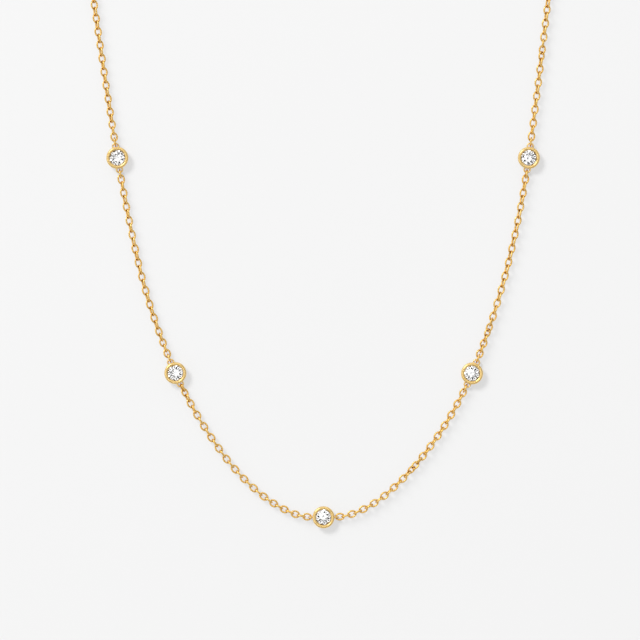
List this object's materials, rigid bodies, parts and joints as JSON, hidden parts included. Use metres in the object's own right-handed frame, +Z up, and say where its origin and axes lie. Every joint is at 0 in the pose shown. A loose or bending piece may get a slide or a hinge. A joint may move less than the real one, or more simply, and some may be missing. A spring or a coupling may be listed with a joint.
{
  "type": "bezel choker",
  "caption": "Fine cable chain choker with round clear stones in smooth bezel settings along the front, closed at the nape by a spring ring.",
  "frame": {"origin": "on the table the necklace lies on, under the middle of its bounding box", "axes": "+X across the neck, +Y from the front setting to the nape, +Z up from the table out of the stones' faces"},
  "size_m": [0.0936, 0.162, 0.002],
  "materials": {
    "gold": "polished yellow gold",
    "stone": "clear, cut and polished"
  },
  "bodies": {
    "root": {"chain_front_left": "gold", "chain_front_right": "gold", "chain_side_left": "gold", "chain_side_right": "gold", "chain_back_left": "gold", "chain_back_right": "gold", "chain_nape_left": "gold", "chain_nape_right": "gold", "bezel_front": "gold", "bezel_lower_left": "gold", "bezel_lower_right": "gold", "bezel_upper_left": "gold", "bezel_upper_right": "gold", "stone_front": "stone", "stone_lower_left": "stone", "stone_lower_right": "stone", "stone_upper_left": "stone", "stone_upper_right": "stone", "clasp": "gold", "end_ring": "gold"}
  },
  "joints": []
}
